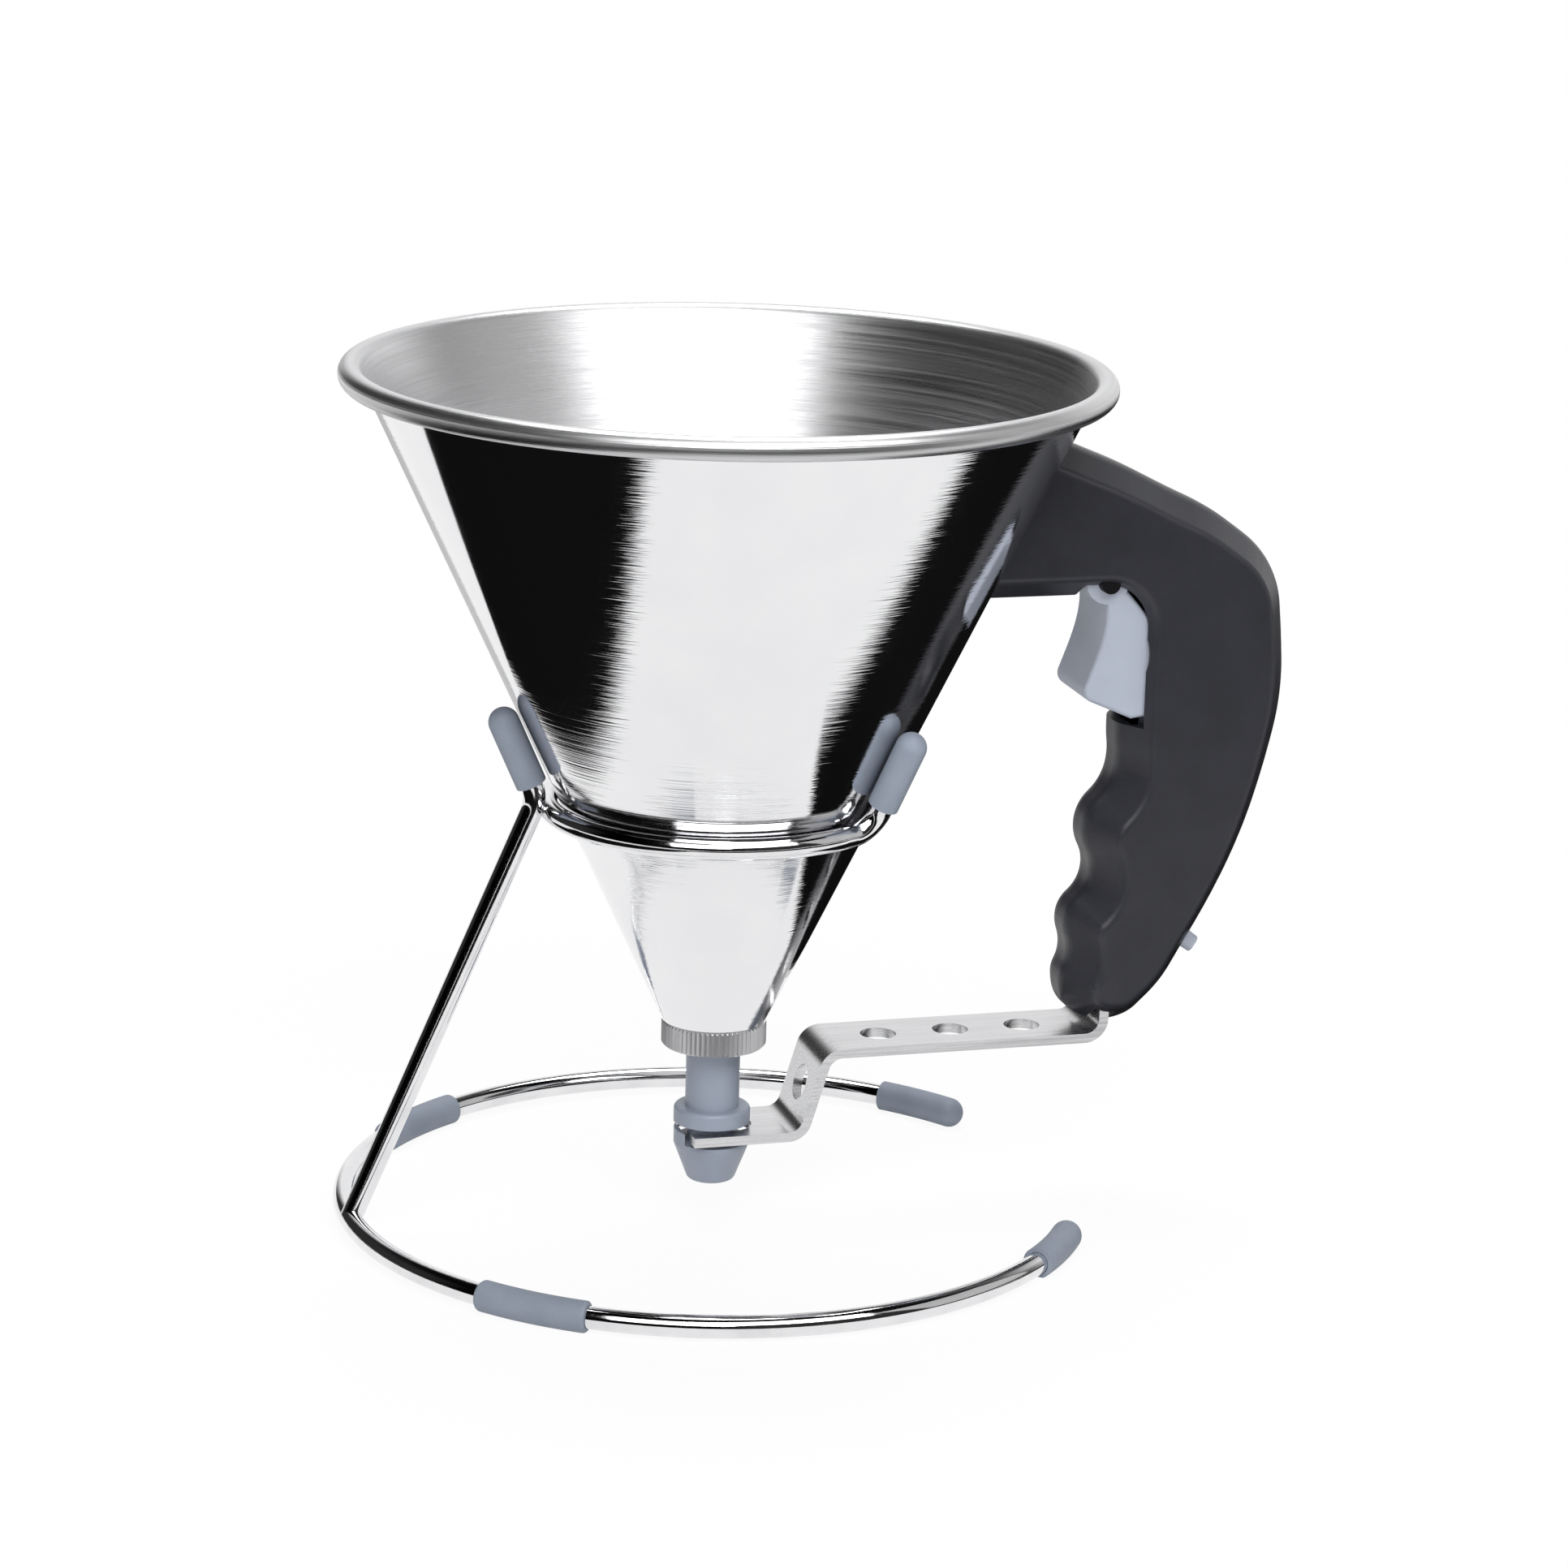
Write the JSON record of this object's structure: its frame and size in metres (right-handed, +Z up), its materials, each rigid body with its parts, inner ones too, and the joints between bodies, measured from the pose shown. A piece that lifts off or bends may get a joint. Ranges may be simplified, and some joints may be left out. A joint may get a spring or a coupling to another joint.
{
  "type": "piston funnel",
  "caption": "Steel cone funnel with a trigger handle whose lever lifts a sliding outlet nozzle, resting in an open wire stand with rubber caps.",
  "frame": {"origin": "middle of the base of the whole object's box, on the table", "axes": "+Z up along the cone, +X from the cone to the handle, +Y to the right for a person who holds the handle"},
  "size_m": [0.1964, 0.1548, 0.1758],
  "materials": {
    "wire": "polished round wire",
    "rubber": "matte blue-grey rubber",
    "polished_steel": "mirror polished outside with fine turned lines, satin inside",
    "satin_steel": "satin",
    "knurled_steel": "straight knurl",
    "spring_steel": "drawn wire",
    "grip_plastic": "fine grained charcoal",
    "grey_plastic": "satin",
    "trigger_plastic": "satin",
    "seal_rubber": "silicone"
  },
  "bodies": {
    "stand": {"base_ring": "wire", "stand_leg": "wire", "cradle_ring": "wire", "base_sleeve_left": "rubber", "base_sleeve_right": "rubber", "base_cap_left": "rubber", "base_cap_right": "rubber", "leg_tip_cap": "rubber", "cradle_cap_left": "rubber", "cradle_cap_right": "rubber"},
    "funnel": {"funnel_cone": "polished_steel", "outlet_spigot": "satin_steel", "guide_bush": "grey_plastic", "spigot_seal": "seal_rubber", "handle_bracket": "satin_steel", "bracket_screws": "satin_steel", "handle_shell_left": "grip_plastic", "handle_shell_right": "grip_plastic", "handle_screws": "satin_steel", "trigger_pin": "satin_steel", "lever_pin": "satin_steel", "return_spring": "spring_steel", "button_spring": "spring_steel"},
    "collar": {"collar_nut": "knurled_steel"},
    "trigger": {"trigger": "trigger_plastic"},
    "lever": {"lever_strip": "satin_steel", "lever_crank": "grey_plastic", "lever_rivets": "satin_steel"},
    "nozzle": {"nozzle": "grey_plastic", "valve_head": "grey_plastic", "valve_seal": "seal_rubber"},
    "button": {"release_button": "trigger_plastic"}
  },
  "joints": [
    {"name": "funnel_lift", "type": "slide", "parent": "stand", "child": "funnel", "axis": [0, 0, 1], "range_m": [0, 0.12]},
    {"name": "collar_turn", "type": "hinge", "parent": "funnel", "child": "collar", "pos_m": [-0.02075, 0, 0.038], "axis": [0, 0, 1], "continuous": true},
    {"name": "trigger_pull", "type": "hinge", "parent": "funnel", "child": "trigger", "pos_m": [0.05725, 0, 0.131], "axis": [0, -1, 0], "range_deg": [0, 11.8], "stiffness_Nm_per_rad": 0.8, "springref_deg": -11.46},
    {"name": "lever_rock", "type": "hinge", "parent": "funnel", "child": "lever", "pos_m": [0.06485, 0, 0.047], "axis": [0, 1, 0], "range_deg": [0, 4.97], "deforming": ["return_spring"]},
    {"name": "nozzle_lift", "type": "slide", "parent": "funnel", "child": "nozzle", "axis": [0, 0, 1], "range_m": [0, 0.00741]},
    {"name": "button_press", "type": "slide", "parent": "funnel", "child": "button", "axis": [-0.8358, 0, 0.549], "range_m": [0, 0.0016], "stiffness_N_per_m": 400, "springref_m": -0.002, "deforming": ["button_spring"]}
  ],
  "couplings": [
    {"joint": "lever_rock", "follows": "trigger_pull", "ratio": 0.42},
    {"joint": "nozzle_lift", "follows": "trigger_pull", "m_per_rad": 0.035952}
  ]
}
